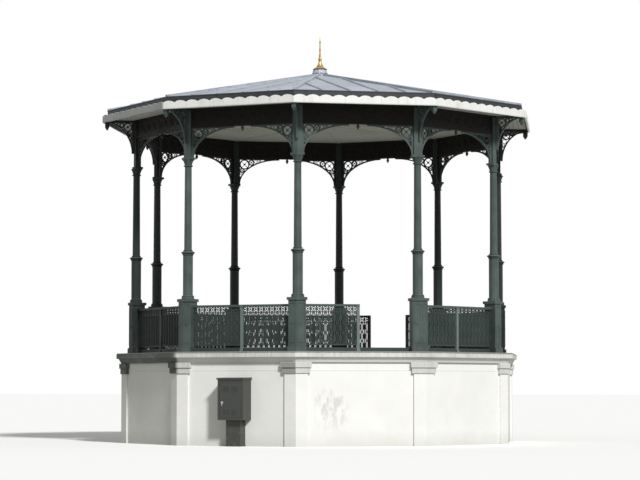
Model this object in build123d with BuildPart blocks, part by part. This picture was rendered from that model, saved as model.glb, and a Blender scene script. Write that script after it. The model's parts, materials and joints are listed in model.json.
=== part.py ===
from build123d import *
import math
import os

# A ten-sided park bandstand. Millimetres, Z up. The origin is on the axis at ground level.
# Bay 1 faces -Y and the bays count anticlockwise from above, so the entrance, bay 6, faces +Y.
# Column n stands between bay n and bay n + 1.

os.makedirs("parts", exist_ok=True)

# Plan
sides = 10
podium_radius = 4500
column_inset = 280
eave_overhang = 780

# Podium: plastered walls with corner pilasters, and a floor slab with a moulded edge
floor_height = 2000
wall_thickness = 250
pilaster_reach = 250
pilaster_proud = 40
cap_lower_reach = 295
cap_upper_reach = 320
cap_lower_proud = 65
cap_upper_proud = 90
cap_lower_height = 120
cap_upper_height = 110
bed_mould_height = 110
bed_mould_low_proud = 45
bed_mould_high_proud = 105
slab_height = 120
slab_proud = 150
slab_edge_chamfer = 20

# Equipment cabinet on the wall of bay 1
cabinet_offset = 45
cabinet_width = 600
cabinet_depth = 380
cabinet_height = 850
cabinet_base = 555
cabinet_hood = 35
cabinet_hood_lip = 20
cabinet_hood_slope = 12
cabinet_stand_width = 330
cabinet_stand_depth = 250
cabinet_door_rim = 45
cabinet_door_recess = 12

# Columns, with heights above the floor. The cast shafts have flats, not a round surface.
column_flats = 12
plinth_half = 180
plinth_height = 110
pedestal_half = 150
pedestal_above_rail = 80
pedestal_cap_half = 175
pedestal_cap_height = 60
base_ring_radius = 140
base_ring_height = 50
lower_shaft_radius = 110
collar_height = 2100
collar_radius = 138
collar_lip = 20
collar_depth = 36
upper_shaft_radius = 86
neck_radius = 76
neck_ring_radius = 96
neck_ring_height = 26
bell_radius = 122
bell_height = 130
abacus_height = 44
abacus_half = 96
abacus_reach = 130
head_reach = 90
head_half = 65

# Railings
rail_top = 1000
handrail_height = 50
handrail_width = 80
frieze_gap = 103
frieze_rail_height = 22
bottom_rail_base = 130
bottom_rail_height = 30
bar_size = 22
bar_pitch = 125
post_size = 60
post_foot_size = 96
post_foot_height = 40
entrance_width = 900

# Beams and arches
crown_height = 4830
beam_depth = 420
beam_width = 120
beam_band = 50
beam_panel_recess = 15
arch_rise = 630
arch_flat_half = 200
arch_leg = 40
arch_arm = 30
arch_depth = 40
arch_rim = 32
rings_along_arch_arm = 2
rings_along_arch_leg = 2
drop_flats = 8
drop_radius = 38
drop_waist_radius = 20
drop_tip_radius = 10
drop_length = 110

# Eave brackets
bracket_drop = 750
bracket_arm = 60
bracket_leg = 50
bracket_rim = 30
bracket_width = 45
bracket_end_gap = 20
rings_along_bracket_arm = 2
rings_along_bracket_leg = 1
end_block_size = 90
end_block_height = 100
end_point_height = 70
end_point_size = 24

# Openwork of arches and eave brackets: rings with few flats, and a hollow edge in short chords
ring_flats = 8
ring_width = 18
ring_bite = 6
hollow_chords = 10
piercing_end = 12

# Ceiling, eave board and roof
ceiling_thickness = 30
board_below_ceiling = 50
board_height = 115
board_thickness = 40
board_joint = 4
scallop_count = 11
scallop_rise = 45
scallop_flats = 20
gutter_width = 75
roof_edge_height = 180
roof_slope = 11.5
roof_thickness = 60
roof_top_radius = 200
hip_roll_width = 64
hip_roll_top_width = 44
hip_roll_height = 45

# Roof cap and spike
cap_flange_radius = 185
cap_flange_height = 60
cap_neck_radius = 150
cap_neck_height = 110
spike_foot_radius = 140
spike_waist_radius = 60
spike_bell_height = 210
spike_stem_radius = 26
spike_ring_radius = 44
spike_ring_height = 40
spike_height = 740
spike_tip_radius = 8
spike_flats = 12

# Derived sizes
column_ring = podium_radius - column_inset
eave_radius = column_ring + eave_overhang
half_step = math.radians(180 / sides)
step = 360 / sides
wall_top = floor_height - slab_height - bed_mould_height
wall_face = podium_radius * math.cos(half_step)
wall_side = 2 * podium_radius * math.sin(half_step)
ring_line = column_ring * math.cos(half_step)
ring_side = 2 * column_ring * math.sin(half_step)
eave_line = eave_radius * math.cos(half_step)
crown_level = floor_height + crown_height
ceiling_level = crown_level + beam_depth
ceiling_top = ceiling_level + ceiling_thickness
spring_level = crown_level - arch_rise
pedestal_top = rail_top + pedestal_above_rail
bay_plane = Plane.XZ.offset(ring_line)


def bent_outline(radius, reach, outer, inner):
    """Plan of a block wrapped round one corner of the ring, with its ends square to the two sides."""
    along = (-math.sin(half_step), math.cos(half_step))
    out = (math.cos(half_step), math.sin(half_step))
    end_outer = (radius + reach * along[0] + outer * out[0], reach * along[1] + outer * out[1])
    end_inner = (radius + reach * along[0] - inner * out[0], reach * along[1] - inner * out[1])
    return [
        end_outer,
        (end_inner[0], end_inner[1]),
        (radius - inner / out[0], 0),
        (end_inner[0], -end_inner[1]),
        (end_outer[0], -end_outer[1]),
        (radius + outer / out[0], 0),
    ]


def save(shape, name):
    """Label one finished piece and write it."""
    shape.label = name
    export_step(shape, f"parts/{name}.step")


def turned(shape, angle):
    """A copy of a piece, turned about the bandstand's axis."""
    with BuildPart() as copy:
        with Locations(Location((0, 0, 0), (0, 0, angle))):
            add(shape)
    return copy.part


def all_round(shape):
    """Copies of a piece in one node, one at each corner or side."""
    with BuildPart() as ring:
        with PolarLocations(0, sides):
            add(shape)
    return ring.part


def taper_between(low_radius, high_radius, flats, height):
    """Taper in degrees of a piece with flats that goes from one corner radius to another."""
    return math.degrees(math.atan((low_radius - high_radius) * math.cos(math.pi / flats) / height))


def stage(place, flats, base, height, low_radius, high_radius):
    """One stage of a cast piece with flats. One that widens upwards is drawn upside down and mirrored."""
    widens = high_radius > low_radius
    foot = base + height if widens else base
    wide = max(low_radius, high_radius)
    narrow = min(low_radius, high_radius)
    with BuildPart() as piece:
        with BuildSketch(Plane.XY.offset(foot)):
            with Locations(place):
                RegularPolygon(wide, flats)
        extrude(amount=height, taper=taper_between(wide, narrow, flats, height))
        if widens:
            mirror(about=Plane.XY.offset(foot), mode=Mode.REPLACE)
    return piece.part


# Podium walls: one flat panel in each side, between the pilasters
with BuildPart() as podium_walls:
    with BuildSketch():
        with PolarLocations(wall_face - wall_thickness / 2, sides, start_angle=step / 2):
            Rectangle(wall_thickness, wall_side - 2 * pilaster_reach)
    extrude(amount=wall_top)
save(podium_walls.part, "podium_walls")

# Pilasters: the corner piers, slightly proud of the walls
with BuildPart() as pilaster:
    with BuildSketch():
        Polygon(*bent_outline(podium_radius, pilaster_reach, pilaster_proud, wall_thickness), align=None)
    extrude(amount=wall_top)
save(all_round(pilaster.part), "podium_pilasters")

# Caps: two steps wrapped round the head of each pilaster
with BuildPart() as pilaster_cap:
    cap_base = wall_top - cap_upper_height - cap_lower_height
    with BuildSketch(Plane.XY.offset(cap_base)):
        Polygon(*bent_outline(podium_radius, cap_lower_reach, cap_lower_proud, 0), align=None)
    extrude(amount=cap_lower_height)
    with BuildSketch(Plane.XY.offset(cap_base + cap_lower_height)):
        Polygon(*bent_outline(podium_radius, cap_upper_reach, cap_upper_proud, 0), align=None)
    extrude(amount=cap_upper_height)
    add(pilaster.part, mode=Mode.SUBTRACT)
save(all_round(pilaster_cap.part), "pilaster_caps")

# Floor slab: a splayed bed mould under a fascia with a chamfered top edge
with BuildPart() as floor_slab:
    with BuildSketch(Plane.XY.offset(wall_top)):
        RegularPolygon(podium_radius + bed_mould_low_proud / math.cos(half_step), sides)
    splay = math.atan((bed_mould_high_proud - bed_mould_low_proud) / bed_mould_height)
    extrude(amount=bed_mould_height, taper=-math.degrees(splay))
    with BuildSketch(Plane.XY.offset(wall_top + bed_mould_height)):
        RegularPolygon(podium_radius + slab_proud / math.cos(half_step), sides)
    extrude(amount=slab_height)
    top_edges = floor_slab.faces().sort_by(Axis.Z)[-1].edges()
    chamfer(top_edges, slab_edge_chamfer)
save(floor_slab.part, "floor_slab")

# Cabinet: a box with a sloping hood and a recessed door, on a narrower stand
with BuildPart() as cabinet:
    with BuildSketch(Plane.XY.offset(cabinet_base)):
        with Locations((cabinet_offset, -(wall_face + cabinet_depth / 2))):
            Rectangle(cabinet_width, cabinet_depth)
    extrude(amount=cabinet_height)
    hood_back = -wall_face
    hood_front = -(wall_face + cabinet_depth + cabinet_hood_lip)
    hood_base = cabinet_base + cabinet_height
    with BuildSketch(Plane.YZ.offset(cabinet_offset)):
        with BuildLine():
            Polyline(
                (hood_back, hood_base),
                (hood_front, hood_base),
                (hood_front, hood_base + cabinet_hood),
                (hood_back, hood_base + cabinet_hood + cabinet_hood_slope),
                close=True,
            )
        make_face()
    extrude(amount=cabinet_width / 2 + cabinet_hood_lip, both=True)
    with BuildSketch(Plane.XZ.offset(wall_face + cabinet_depth)):
        with Locations((cabinet_offset, cabinet_base + cabinet_height / 2)):
            Rectangle(cabinet_width - 2 * cabinet_door_rim, cabinet_height - 2 * cabinet_door_rim)
    extrude(amount=-cabinet_door_recess, mode=Mode.SUBTRACT)
save(cabinet.part, "cabinet")

with BuildPart() as cabinet_stand:
    with BuildSketch():
        with Locations((cabinet_offset, -(wall_face + cabinet_stand_depth / 2))):
            Rectangle(cabinet_stand_width, cabinet_stand_depth)
    extrude(amount=cabinet_base)
save(cabinet_stand.part, "cabinet_stand")

# Head block: it carries the beams and the eave bracket, above the column's capital
with BuildPart() as head_block:
    with BuildSketch(Plane.XY.offset(spring_level)):
        Polygon(*bent_outline(column_ring, head_reach, head_half, head_half), align=None)
    extrude(amount=ceiling_level - spring_level)

# Column: a bent pedestal, a shaft in two thicknesses with a collar between them, and a capital
shaft_base = floor_height + pedestal_top + pedestal_cap_height
lower_base = shaft_base + base_ring_height
collar_base = floor_height + collar_height
collar_top = collar_base + 2 * collar_lip + collar_depth
capital_base = spring_level - abacus_height - bell_height - neck_ring_height
bell_base = capital_base + neck_ring_height
shaft_stages = [
    (shaft_base, base_ring_height, base_ring_radius, base_ring_radius),
    (lower_base, collar_base - lower_base, lower_shaft_radius, lower_shaft_radius),
    (collar_base, collar_lip, lower_shaft_radius, collar_radius),
    (collar_base + collar_lip, collar_depth, collar_radius, collar_radius),
    (collar_top - collar_lip, collar_lip, collar_radius, upper_shaft_radius),
    (collar_top, capital_base - collar_top, upper_shaft_radius, neck_radius),
    (capital_base, neck_ring_height, neck_ring_radius, neck_ring_radius),
    (bell_base, bell_height, neck_radius, bell_radius),
]
shaft = [stage((column_ring, 0), column_flats, *sizes) for sizes in shaft_stages]
with BuildPart() as column:
    with BuildSketch(Plane.XY.offset(floor_height)):
        Polygon(*bent_outline(column_ring, plinth_half, plinth_half, plinth_half), align=None)
    extrude(amount=plinth_height)
    with BuildSketch(Plane.XY.offset(floor_height + plinth_height)):
        Polygon(*bent_outline(column_ring, pedestal_half, pedestal_half, pedestal_half), align=None)
    extrude(amount=pedestal_top - plinth_height)
    with BuildSketch(Plane.XY.offset(floor_height + pedestal_top)):
        Polygon(
            *bent_outline(column_ring, pedestal_cap_half, pedestal_cap_half, pedestal_cap_half),
            align=None,
        )
    extrude(amount=pedestal_cap_height)
    add(shaft)
    with BuildSketch(Plane.XY.offset(spring_level - abacus_height)):
        Polygon(*bent_outline(column_ring, abacus_reach, abacus_half, abacus_half), align=None)
    extrude(amount=abacus_height)
    add(head_block.part)
for number in range(1, sides + 1):
    save(turned(column.part, step * (number - 0.5) - 90), f"column_{number}")


def railing(start, end, posts):
    """Railing on the bay 1 line from start to end: rails, bars, and square posts at the given places."""
    low = floor_height + bottom_rail_base
    high = floor_height + rail_top
    hole_low = low + bottom_rail_height
    frieze_low = high - handrail_height - frieze_gap
    hole_high = frieze_low - frieze_rail_height
    stops = sorted([start, end] + posts)
    with BuildPart() as rails:
        with BuildSketch(bay_plane):
            with Locations(((start + end) / 2, (low + high - handrail_height) / 2)):
                Rectangle(end - start, high - handrail_height - low)
            for left, right in zip(stops, stops[1:]):
                count = round((right - left) / bar_pitch)
                if count < 1:
                    continue
                pitch = (right - left) / count
                with Locations(((left + right) / 2, (hole_low + hole_high) / 2)):
                    with GridLocations(pitch, 0, count, 1):
                        Rectangle(pitch - bar_size, hole_high - hole_low, mode=Mode.SUBTRACT)
                with Locations(((left + right) / 2, frieze_low + frieze_gap / 2)):
                    with GridLocations(pitch, 0, count, 1):
                        Rectangle(pitch - bar_size, frieze_gap, mode=Mode.SUBTRACT)
        extrude(amount=bar_size / 2, both=True)
        with Locations(((start + end) / 2, -ring_line, high - handrail_height / 2)):
            Box(end - start, handrail_width, handrail_height)
        standing = (Align.CENTER, Align.CENTER, Align.MIN)
        with Locations(*[(place, -ring_line, floor_height) for place in posts]):
            Box(post_size, post_size, rail_top, align=standing)
            Box(post_foot_size, post_foot_size, post_foot_height, align=standing)
    return rails.part


# Railings: whole ones in eight bays, a left half in bay 2, and short ones beside the entrance
bay_half = ring_side / 2 - pedestal_half
gate_post = entrance_width / 2 + post_foot_size / 2
whole_railing = railing(-bay_half, bay_half, [0])
for number in range(1, sides + 1):
    if number not in (2, 6):
        save(turned(whole_railing, step * (number - 1)), f"railing_{number}")
half_railing = railing(-bay_half, post_size / 2, [0])
save(turned(half_railing, step), "railing_2_left")
with BuildPart() as entrance_railings:
    with Locations(Location((0, 0, 0), (0, 0, 5 * step))):
        add(railing(-bay_half, -gate_post, [-gate_post]))
        add(railing(gate_post, bay_half, [gate_post]))
save(entrance_railings.part, "entrance_railings")

# Beams between the column heads, with a sunk panel on each face
beam_half = ring_side / 2 - head_reach
with BuildPart() as beam:
    with BuildSketch(bay_plane):
        with Locations((0, (crown_level + ceiling_level) / 2)):
            Rectangle(2 * beam_half, beam_depth)
    extrude(amount=beam_width / 2, both=True)
    with BuildSketch(bay_plane.offset(beam_width / 2), bay_plane.offset(-beam_width / 2)):
        with Locations((0, (crown_level + ceiling_level) / 2)):
            Rectangle(2 * (beam_half - beam_band), beam_depth - 2 * beam_band)
    extrude(amount=beam_panel_recess, both=True, mode=Mode.SUBTRACT)
save(all_round(beam.part), "beams")


def ring_radius(place, across, rise, rim):
    """Radius of a ring that touches a bracket's straight side at place and its hollow edge."""
    run = (across - place) / (across + rim)
    fall = math.sqrt(1 - run**2)
    gap = rise - (rise + rim) * fall
    slope = (rise + rim) / (across + rim) * run / fall
    return gap / (1 + math.hypot(1, slope))


def touching_rings(across, rise, rim, count):
    """Rings along one straight side of a bracket: distances from the corner, and radii.

    The first ring lies in the corner. Each later one touches the ring before it.
    """
    place = 0
    while ring_radius(place, across, rise, rim) > place:
        place += 1
    rings = [(place, place)]
    while len(rings) < count:
        place += 1
        radius = ring_radius(place, across, rise, rim)
        last_place, last_radius = rings[-1]
        if (place - last_place) ** 2 >= 4 * last_radius * radius:
            rings.append((place, radius))
    return rings


def piercing_reach(across, rise, rim):
    """How far the openwork runs along a bracket's straight side, to where its slit is too narrow."""
    level = (rise - piercing_end) / (rise + rim)
    return across - (across + rim) * math.sqrt(1 - level**2)


def hollow(tip, spring, across, rise, way):
    """Outline of the open quarter of an oval under a bracket, with its round side in short chords."""
    turns = [math.pi / 2 * number / hollow_chords for number in range(hollow_chords + 1)]
    round_side = [(tip - way * across * math.cos(turn), spring + rise * math.sin(turn)) for turn in turns]
    return [(tip, spring)] + round_side


def openwork_bracket(inner, tip, spring, top, leg, arm, rim, arm_rings, leg_rings):
    """Bracket in a vertical plane: a leg at inner, an arm to tip, a hollow edge, and rings between."""
    way = math.copysign(1, tip - inner)
    across = abs(tip - inner) - leg
    rise = top - arm - spring
    corner = inner + way * leg
    side = piercing_reach(across, rise, rim)
    down = piercing_reach(rise, across, rim)
    rings = [(place, radius, radius) for place, radius in touching_rings(across, rise, rim, arm_rings)]
    rings += [(radius, place, radius) for place, radius in touching_rings(rise, across, rim, leg_rings)[1:]]
    with BuildSketch(mode=Mode.PRIVATE) as piercing:
        with Locations((corner + way * side / 2, spring + rise - down / 2)):
            Rectangle(side, down)
        Polygon(*hollow(tip, spring, across + rim, rise + rim, way), align=None, mode=Mode.SUBTRACT)
        for place, depth, radius in rings:
            with Locations((corner + way * place, spring + rise - depth)):
                RegularPolygon(radius + ring_bite, ring_flats, major_radius=False, mode=Mode.SUBTRACT)
        for place, depth, radius in rings:
            with Locations((corner + way * place, spring + rise - depth)):
                RegularPolygon(radius - ring_width, ring_flats, major_radius=False)
    with BuildSketch(mode=Mode.PRIVATE) as face:
        with Locations(((inner + tip) / 2, (spring + top) / 2)):
            Rectangle(abs(tip - inner), top - spring)
        Polygon(*hollow(tip, spring, across, rise, way), align=None, mode=Mode.SUBTRACT)
        add(piercing.sketch, mode=Mode.SUBTRACT)
    return face.sketch


# Arches: a pair of openwork brackets under each beam, standing on the columns' capitals
with BuildPart() as arch:
    with BuildSketch(bay_plane):
        add(
            openwork_bracket(
                -beam_half,
                -arch_flat_half,
                spring_level,
                crown_level,
                arch_leg,
                arch_arm,
                arch_rim,
                rings_along_arch_arm,
                rings_along_arch_leg,
            )
        )
        mirror(about=Plane.YZ)
    extrude(amount=arch_depth / 2, both=True)
for number in range(1, sides + 1):
    save(turned(arch.part, step * (number - 1)), f"arch_{number}")

# Drops under the middle of each beam: a neck, then a point
half_drop = drop_length / 2
drop_stages = [
    (crown_level - half_drop, half_drop, drop_radius, drop_waist_radius),
    (crown_level - drop_length, half_drop, drop_tip_radius, drop_radius),
]
drop_pieces = [stage((0, -ring_line), drop_flats, *sizes) for sizes in drop_stages]
with BuildPart() as arch_drop:
    add(drop_pieces)
save(all_round(arch_drop.part), "arch_drops")

# Eave brackets outside the column heads, each ending in a small pointed block
bracket_end = eave_radius - board_thickness / math.cos(half_step) - bracket_end_gap
end_block_base = ceiling_level - bracket_arm - end_block_height
with BuildPart() as end_point:
    with BuildSketch(Plane.XY.offset(end_block_base)):
        with Locations((bracket_end - end_block_size / 2, 0)):
            Rectangle(end_block_size, end_block_size)
    point_taper = math.degrees(math.atan((end_block_size - end_point_size) / 2 / end_point_height))
    extrude(amount=end_point_height, taper=point_taper)
    mirror(about=Plane.XY.offset(end_block_base), mode=Mode.REPLACE)

with BuildPart() as eave_bracket:
    with BuildSketch(Plane.XZ):
        add(
            openwork_bracket(
                column_ring,
                bracket_end,
                ceiling_level - bracket_drop,
                ceiling_level,
                bracket_leg + head_half,
                bracket_arm,
                bracket_rim,
                rings_along_bracket_arm,
                rings_along_bracket_leg,
            )
        )
    extrude(amount=bracket_width / 2, both=True)
    with BuildSketch(Plane.XY.offset(end_block_base)):
        with Locations((bracket_end - end_block_size / 2, 0)):
            Rectangle(end_block_size, end_block_size)
    extrude(amount=ceiling_level - end_block_base)
    add(end_point.part)
    add(head_block.part, mode=Mode.SUBTRACT)
save(all_round(eave_bracket.part), "eave_brackets")

# Ceiling boards, from the middle out to the eave board
board_inner = eave_line - board_thickness
with BuildPart() as ceiling:
    with BuildSketch(Plane.XY.offset(ceiling_level)):
        RegularPolygon(board_inner / math.cos(half_step), sides)
    extrude(amount=ceiling_thickness)
save(ceiling.part, "ceiling")

# Eave boards: one a side, with a scalloped top edge and mitred ends
board_low = ceiling_level - board_below_ceiling
board_high = board_low + board_height
board_side = 2 * eave_radius * math.sin(half_step)
scallop_pitch = board_side / scallop_count
scallop_radius = (scallop_pitch**2 / 4 + scallop_rise**2) / (2 * scallop_rise)
with BuildPart() as eave_board:
    with BuildSketch(Plane.XZ.offset(eave_line)):
        with Locations((0, (board_low + board_high) / 2)):
            Rectangle(board_side, board_height)
        with BuildSketch(mode=Mode.PRIVATE) as scallop:
            with Locations((0, scallop_rise - scallop_radius)):
                RegularPolygon(scallop_radius, scallop_flats)
            with Locations((0, scallop_rise / 2)):
                Rectangle(scallop_pitch, scallop_rise, mode=Mode.INTERSECT)
        with Locations((0, board_high)):
            with GridLocations(scallop_pitch, 0, scallop_count, 1):
                add(scallop.sketch)
    extrude(amount=-board_thickness)
    board_cut = board_joint / 2 / math.cos(half_step)
    board_half_inner = board_inner * math.tan(half_step) - board_cut
    board_half_outer = board_side / 2 - board_cut
    with BuildSketch(Plane.XY.offset(board_low)):
        with BuildLine():
            Polyline(
                (-board_half_inner, -board_inner),
                (board_half_inner, -board_inner),
                (board_half_outer, -eave_line),
                (-board_half_outer, -eave_line),
                close=True,
            )
        make_face()
    extrude(amount=board_height + scallop_rise, mode=Mode.INTERSECT)
save(all_round(eave_board.part), "eave_boards")

# Roof covering: a low ten-sided shell with an upright edge
roof_radius = (board_inner - gutter_width) / math.cos(half_step)
roof_edge_top = ceiling_top + roof_edge_height
roof_line = roof_radius * math.cos(half_step)
roof_top_line = roof_top_radius * math.cos(half_step)
roof_rise = (roof_line - roof_top_line) * math.tan(math.radians(roof_slope))
roof_top = roof_edge_top + roof_rise
with BuildPart() as roof_form:
    with BuildSketch(Plane.XY.offset(ceiling_top)):
        RegularPolygon(roof_radius, sides)
    extrude(amount=roof_edge_height)
    with BuildSketch(Plane.XY.offset(roof_edge_top)):
        RegularPolygon(roof_radius, sides)
    extrude(amount=roof_rise, taper=90 - roof_slope)

with BuildPart() as roof_hollow:
    hollow_radius = roof_radius - roof_thickness / math.cos(half_step)
    hollow_rise = roof_rise - roof_thickness * math.tan(math.radians(roof_slope))
    with BuildSketch(Plane.XY.offset(ceiling_top)):
        RegularPolygon(hollow_radius, sides)
    extrude(amount=roof_edge_height - roof_thickness)
    with BuildSketch(Plane.XY.offset(roof_edge_top - roof_thickness)):
        RegularPolygon(hollow_radius, sides)
    extrude(amount=hollow_rise, taper=90 - roof_slope)

with BuildPart() as roof_covering:
    add(roof_form.part)
    add(roof_hollow.part, mode=Mode.SUBTRACT)
save(roof_covering.part, "roof_covering")

# Rolls over the hips: zinc over a tapered batten
with BuildPart() as hip_roll:
    hip_foot = Vector(roof_radius, 0, roof_edge_top)
    hip_head = Vector(roof_top_radius, 0, roof_top)
    with BuildSketch(Plane(origin=hip_foot, x_dir=(0, 1, 0), z_dir=hip_head - hip_foot)):
        with BuildLine():
            Polyline(
                (-hip_roll_width / 2, -hip_roll_height),
                (hip_roll_width / 2, -hip_roll_height),
                (hip_roll_width / 2, 0),
                (hip_roll_top_width / 2, hip_roll_height),
                (-hip_roll_top_width / 2, hip_roll_height),
                (-hip_roll_width / 2, 0),
                close=True,
            )
        make_face()
    extrude(amount=(hip_head - hip_foot).length)
    add(roof_form.part, mode=Mode.SUBTRACT)
save(all_round(hip_roll.part), "hip_rolls")

# Roof cap: a ten-sided flange and a tapered neck
with BuildPart() as roof_cap:
    with BuildSketch(Plane.XY.offset(roof_top)):
        RegularPolygon(cap_flange_radius, sides)
    extrude(amount=cap_flange_height)
    with BuildSketch(Plane.XY.offset(roof_top + cap_flange_height)):
        RegularPolygon(cap_flange_radius, sides)
    neck_taper = taper_between(cap_flange_radius, cap_neck_radius, sides, cap_neck_height)
    extrude(amount=cap_neck_height, taper=neck_taper)
save(roof_cap.part, "roof_cap")

# Spike: a bell-shaped foot in two slopes, a ring and a long needle
spike_base = roof_top + cap_flange_height + cap_neck_height
bell_waist = spike_bell_height * 0.4
ring_base = spike_base + spike_bell_height
needle_base = ring_base + spike_ring_height
spike_stages = [
    (spike_base, bell_waist, spike_foot_radius, spike_waist_radius),
    (spike_base + bell_waist, spike_bell_height - bell_waist, spike_waist_radius, spike_stem_radius),
    (ring_base, spike_ring_height, spike_ring_radius, spike_ring_radius),
    (needle_base, spike_base + spike_height - needle_base, spike_stem_radius, spike_tip_radius),
]
spike_pieces = [stage((0, 0), spike_flats, *sizes) for sizes in spike_stages]
with BuildPart() as spike:
    add(spike_pieces)
save(spike.part, "spike")
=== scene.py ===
# %% [markdown]
# A ten-sided park bandstand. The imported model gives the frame: podium, columns, railings, arches, beams, eave
# and roof, each where it stands. This lesson adds the finish of each surface and the small work that a maker
# adds last, such as scrolls, mouldings and beads. The frame comes first: later sizes are read from it.

# %% Load the frame
import functools
import json
import math

import bmesh
import bpy
from mathutils import Matrix, Vector


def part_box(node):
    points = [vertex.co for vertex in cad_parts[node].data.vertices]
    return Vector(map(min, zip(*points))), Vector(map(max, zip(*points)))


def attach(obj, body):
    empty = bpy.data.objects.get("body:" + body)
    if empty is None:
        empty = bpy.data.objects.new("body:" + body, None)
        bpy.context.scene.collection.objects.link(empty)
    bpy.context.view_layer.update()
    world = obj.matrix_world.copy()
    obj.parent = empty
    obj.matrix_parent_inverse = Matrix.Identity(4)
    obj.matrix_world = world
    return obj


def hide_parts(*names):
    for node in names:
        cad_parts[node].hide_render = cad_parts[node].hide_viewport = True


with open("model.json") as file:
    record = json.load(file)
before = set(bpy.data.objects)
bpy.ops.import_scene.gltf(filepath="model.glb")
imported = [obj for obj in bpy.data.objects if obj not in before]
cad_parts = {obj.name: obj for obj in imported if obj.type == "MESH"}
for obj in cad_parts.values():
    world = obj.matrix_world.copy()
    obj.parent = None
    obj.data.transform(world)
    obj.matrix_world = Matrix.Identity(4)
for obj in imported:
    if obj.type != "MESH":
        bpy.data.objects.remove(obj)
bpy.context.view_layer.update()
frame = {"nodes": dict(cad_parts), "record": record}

nodes = frame["nodes"]

# %% [markdown]
# The plan is a regular decagon. Bay 1 faces the -Y side and the corners lie on multiples of 36 degrees, so
# one bay and one corner are enough to make everything: the rest are turned copies. Lines and heights come
# from the boxes of the nodes, in metres. The roof's slope and the height of its upright edge can't be read
# from a box, so they are given.

# %% Sizes read from the frame
SIDES = 10
STEP = 2 * math.pi / SIDES
HALF_TAN = math.tan(STEP / 2)
HALF_COS = math.cos(STEP / 2)

rail_low, rail_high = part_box("railing_1")
arch_low, arch_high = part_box("arch_1")
roof_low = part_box("roof_covering")[0]
board_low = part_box("eave_boards")[0]
ceiling_low, ceiling_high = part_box("ceiling")
slab_low, slab_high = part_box("floor_slab")
wall_low, wall_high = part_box("podium_walls")

FLOOR = slab_high.z
RING_LINE = -(rail_low.y + rail_high.y) / 2
CORNER_RING = RING_LINE / HALF_COS
BAY_HALF = rail_high.x
WALL_LINE = -wall_low.y
WALL_TOP = wall_high.z
CORNER = WALL_LINE * HALF_TAN
CEILING = ceiling_low.z
EAVE_LINE = -board_low.y
EAVE_CORNER = EAVE_LINE * HALF_TAN
BOARD_INNER = -ceiling_low.y
ROOF_LINE = -roof_low.y
ROOF_FOOT = ceiling_high.z
ROOF_EDGE_TOP = ROOF_FOOT + 0.180
SLOPE = math.radians(11.5)
print("ring line", round(RING_LINE, 4), "wall line", round(WALL_LINE, 4), "eave line", round(EAVE_LINE, 4))

# %% [markdown]
# Shapes are built as plain lists of points and faces, because such a list is easy to turn, move and join.
# Most are a skin over rings of points: a bar is a small circle swept along a line, a strip is one side of a
# decagonal ring with mitred ends, and a round moulding is a circle swept round an axis. Each shape is closed,
# so that its faces can point outwards.

# %% Shapes made of rings of points
def around(steps):
    """The angles of so many equal steps round a circle."""
    return [2 * math.pi * i / steps for i in range(steps)]


def level_circle(radius, height, segments):
    """Points of a level circle round the Z axis."""
    return [Vector((radius * math.cos(a), radius * math.sin(a), height)) for a in around(segments)]


def skin(rings, closed=False):
    """Points and faces over rings of equally many points, joined end to end or with an end face on each."""
    count = len(rings[0])
    points = [Vector(p) for ring in rings for p in ring]
    faces = []
    for k in range(len(rings) if closed else len(rings) - 1):
        a, b = k * count, (k + 1) % len(rings) * count
        faces += [[a + i, a + (i + 1) % count, b + (i + 1) % count, b + i] for i in range(count)]
    if not closed:
        faces += [list(range(count)), [len(points) - 1 - i for i in range(count)]]
    return points, faces


def bar(line, radius, sides=6, closed=False):
    """A round bar along a line of points in the XZ plane."""
    line = [Vector(p) for p in line]
    side = Vector((0, 1, 0))
    rings = []
    for i, here in enumerate(line):
        before = line[i - 1] if closed or i > 0 else here
        after = line[(i + 1) % len(line)] if closed or i < len(line) - 1 else here
        up = (after - before).normalized().cross(side)
        rings.append([here + (side * math.cos(a) + up * math.sin(a)) * radius for a in around(sides)])
    return skin(rings, closed)


def hoop(width, height, radius, segments, sides=5, centre=(0, 0, 0)):
    """A round bar bent to an upright oval in the XZ plane."""
    line = [Vector(centre) + Vector((width / 2 * math.cos(a), 0, height / 2 * math.sin(a)))
            for a in around(segments)]
    return bar(line, radius, sides, closed=True)


def level_ring(radius, height, thickness):
    """A round moulding: a torus about the Z axis."""
    angles = [math.pi * (k / 3 - 1) for k in range(6)]
    return skin([level_circle(radius + thickness * math.cos(a), height + thickness * math.sin(a), 20)
                 for a in angles], closed=True)


def strip(inner, outer, base, top):
    """One side of a decagonal ring, on bay 1, from one line to another, with mitred ends."""
    section = [(inner, base), (outer, base), (outer, top), (inner, top)]
    return skin([[(s * line * HALF_TAN, -line, z) for line, z in section] for s in (-1, 1)])


# %% [markdown]
# Two kinds of shape need more than a skin. A turned part may run to a point on its axis, where all the points
# of a ring are one. A box has its edges taken off a little, because no real edge is quite sharp.

# %% Turned parts and boxes
FACE_ON = Matrix.Rotation(math.pi / 2, 4, "X")


def lathe(profile, segments):
    """A part turned about Z from a list of (radius, height), bottom to top, closed at both ends."""
    points, faces, rings = [], [], []
    for radius, height in profile:
        circle = level_circle(radius, height, segments if radius else 1)
        rings.append(list(range(len(points), len(points) + len(circle))))
        points += circle
    for low, high in zip(rings, rings[1:]):
        for i in range(segments):
            j = (i + 1) % segments
            corners = [low[i % len(low)], low[j % len(low)], high[j % len(high)], high[i % len(high)]]
            faces.append(list(dict.fromkeys(corners)))
    faces += [ring for ring in (rings[0][::-1], rings[-1]) if len(ring) > 1]
    return points, faces


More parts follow.
